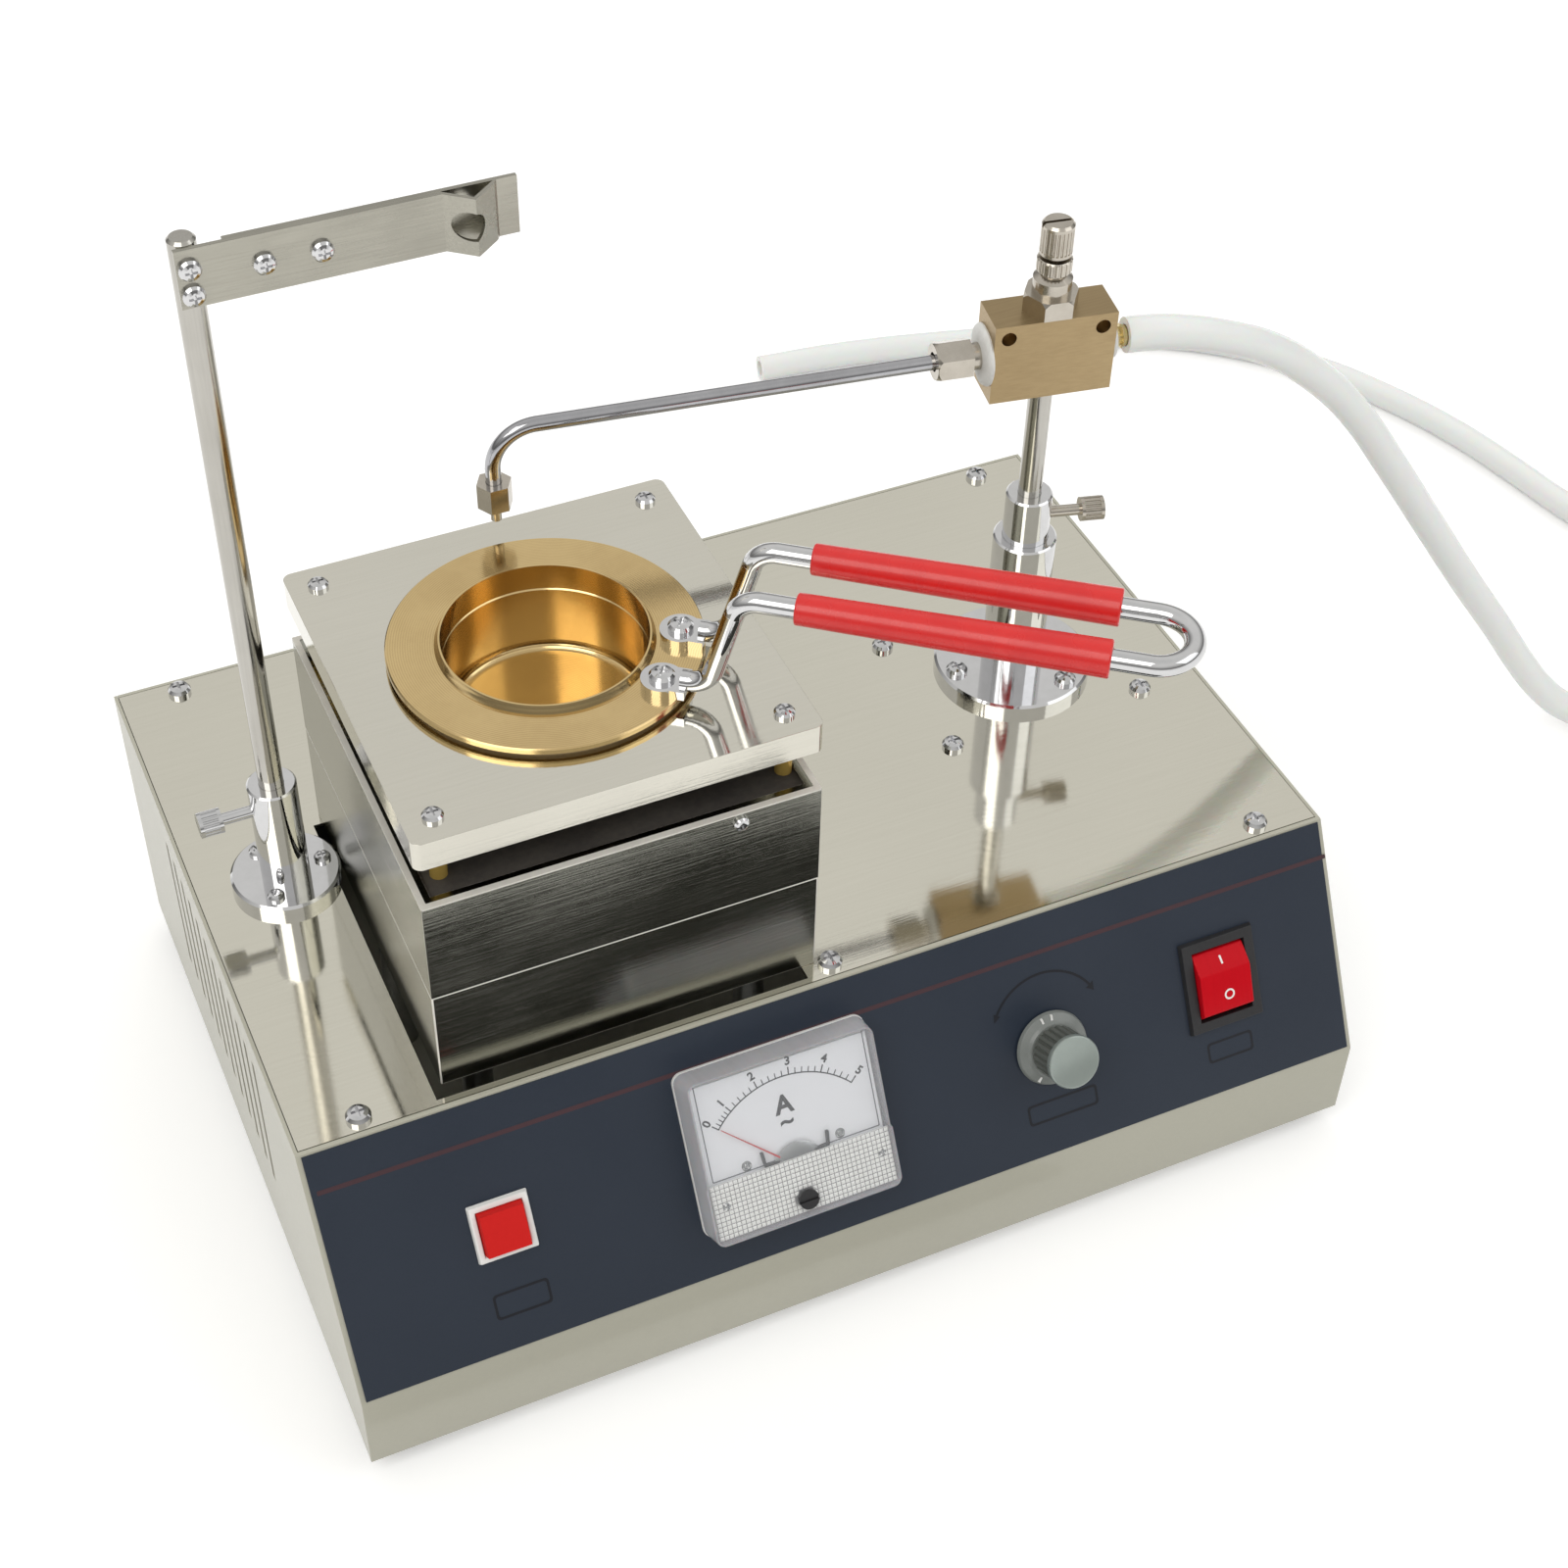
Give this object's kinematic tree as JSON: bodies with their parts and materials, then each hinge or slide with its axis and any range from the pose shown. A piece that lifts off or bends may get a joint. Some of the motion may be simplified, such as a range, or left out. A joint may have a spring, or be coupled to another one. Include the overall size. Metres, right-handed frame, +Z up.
{
  "type": "flash point tester",
  "caption": "Bench open-cup flash point tester: low case with polished deck, electric cup heater, clamp stand for a thermometer, swinging gas flame arm, dial meter and controls.",
  "frame": {"origin": "middle of the footprint, on the table under the feet", "axes": "+Z up, +X to the right seen from the control panel, +Y towards the back"},
  "size_m": [0.6695, 0.5027, 0.3615],
  "materials": {
    "painted_case": "satin light ivory-grey paint",
    "panel_film": "matt dark slate film",
    "polished_sheet": "mirror-like rolled stainless sheet",
    "dark_sheet": "heat-darkened steel sheet",
    "bright_chrome": "polished chrome plate",
    "zinc_steel": "plain zinc-plated steel",
    "machined_brass": "turned brass, slightly dull",
    "red_vinyl": "glossy red sleeve",
    "red_key": "glossy red rocker",
    "red_button": "smooth red key",
    "black_plastic": "satin black",
    "white_plastic": "smooth white",
    "grey_knob": "satin cool grey",
    "clear_cover": "clear moulded cover",
    "dial_white": "printed white dial",
    "refractory": "dull dark fired clay",
    "gasket": "dull fibre ring",
    "wire": "oxidised resistance wire",
    "foot_rubber": "matt black rubber",
    "hose_silicone": "milky translucent silicone",
    "board": "green circuit board"
  },
  "bodies": {
    "base": {"case_shell": "painted_case", "base_plate": "painted_case", "rear_panel": "painted_case", "deck_plate": "polished_sheet", "front_overlay": "panel_film", "feet": "foot_rubber", "deck_screws": "bright_chrome", "case_screws": "bright_chrome", "furnace_lower_box": "dark_sheet", "furnace_upper_box": "dark_sheet", "furnace_posts": "zinc_steel", "furnace_screws": "bright_chrome", "refractory_block": "refractory", "heater_coil": "wire", "standoffs": "machined_brass", "top_plate": "polished_sheet", "plate_screws": "bright_chrome", "seat_ring": "gasket", "left_flange": "bright_chrome", "left_flange_screws": "bright_chrome", "right_flange": "bright_chrome", "right_flange_screws": "bright_chrome", "motor_bracket": "zinc_steel", "bracket_screws": "bright_chrome", "swing_motor": "zinc_steel", "meter_case": "clear_cover", "meter_dial": "dial_white", "meter_window": "clear_cover", "heat_regulator": "black_plastic", "scan_housing": "white_plastic", "rocker_housing": "black_plastic", "power_inlet": "black_plastic", "control_board": "board"},
    "cup": {"cup": "machined_brass", "handle_rod": "bright_chrome", "handle_screws": "bright_chrome", "grip_sleeves": "red_vinyl"},
    "thermometer_stand": {"left_rod": "bright_chrome", "clamp_front_strip": "bright_chrome", "clamp_rear_strip": "bright_chrome", "clamp_screws": "bright_chrome"},
    "left_thumbscrew": {"left_thumbscrew": "bright_chrome"},
    "swing": {"swing_collar": "bright_chrome", "motor_coupler": "zinc_steel"},
    "right_thumbscrew": {"right_thumbscrew": "bright_chrome"},
    "gas_arm": {"arm_rod": "bright_chrome", "valve_block": "machined_brass", "needle_valve": "machined_brass", "tube_fitting": "machined_brass", "gas_tube": "bright_chrome", "nozzle": "machined_brass", "hose_barb": "machined_brass", "gas_hose": "hose_silicone"},
    "valve_knob": {"valve_knob": "machined_brass"},
    "meter_needle": {"meter_needle": "red_button"},
    "zero_adjuster": {"zero_adjuster": "black_plastic"},
    "heat_knob": {"heat_knob": "grey_knob"},
    "scan_key": {"scan_key": "red_button"},
    "rocker": {"rocker_key": "red_key"}
  },
  "joints": [
    {"name": "cup_lift", "type": "slide", "parent": "base", "child": "cup", "axis": [0, 0, 1], "range_m": [0, 0.06]},
    {"name": "thermometer_swing", "type": "hinge", "parent": "base", "child": "thermometer_stand", "pos_m": [-0.14975, 0.02143, 0.15], "axis": [0, 0, 1], "continuous": true},
    {"name": "left_thumbscrew_turn", "type": "hinge", "parent": "base", "child": "left_thumbscrew", "pos_m": [-0.15775, 0.02143, 0.1495], "axis": [-1, 0, 0], "range_deg": [0, 720]},
    {"name": "arm_swing", "type": "hinge", "parent": "base", "child": "swing", "pos_m": [0.1201, 0.02143, 0.15], "axis": [0, 0, -1], "range_deg": [-26, 10]},
    {"name": "right_thumbscrew_turn", "type": "hinge", "parent": "swing", "child": "right_thumbscrew", "pos_m": [0.1201, 0.02143, 0.1843], "axis": [0.9659, -0.2588, 0], "range_deg": [0, 720]},
    {"name": "arm_height", "type": "slide", "parent": "swing", "child": "gas_arm", "axis": [0, 0, 1], "range_m": [0, 0.025]},
    {"name": "valve_turn", "type": "hinge", "parent": "gas_arm", "child": "valve_knob", "pos_m": [0.1201, 0.02143, 0.28], "axis": [0, 0, 1], "range_deg": [0, 720]},
    {"name": "needle_swing", "type": "hinge", "parent": "base", "child": "meter_needle", "pos_m": [-0.02945, -0.12382, 0.0729], "axis": [0, 0.8723, -0.4889], "range_deg": [0, 96], "stiffness_Nm_per_rad": 0.0005},
    {"name": "zero_set", "type": "hinge", "parent": "base", "child": "zero_adjuster", "pos_m": [-0.02945, -0.13249, 0.06561], "axis": [0, 0.8723, -0.4889], "range_deg": [-30, 30]},
    {"name": "heat_turn", "type": "hinge", "parent": "base", "child": "heat_knob", "pos_m": [0.06745, -0.11337, 0.07415], "axis": [0, 0.8723, -0.4889], "range_deg": [0, 300]},
    {"name": "scan_press", "type": "slide", "parent": "base", "child": "scan_key", "axis": [0, 0.8723, -0.4889], "range_m": [0, 0.0025], "stiffness_N_per_m": 600},
    {"name": "rocker_tilt", "type": "hinge", "parent": "base", "child": "rocker", "pos_m": [0.13335, -0.10929, 0.0753], "axis": [1, 0, 0], "range_deg": [0, 14]}
  ]
}
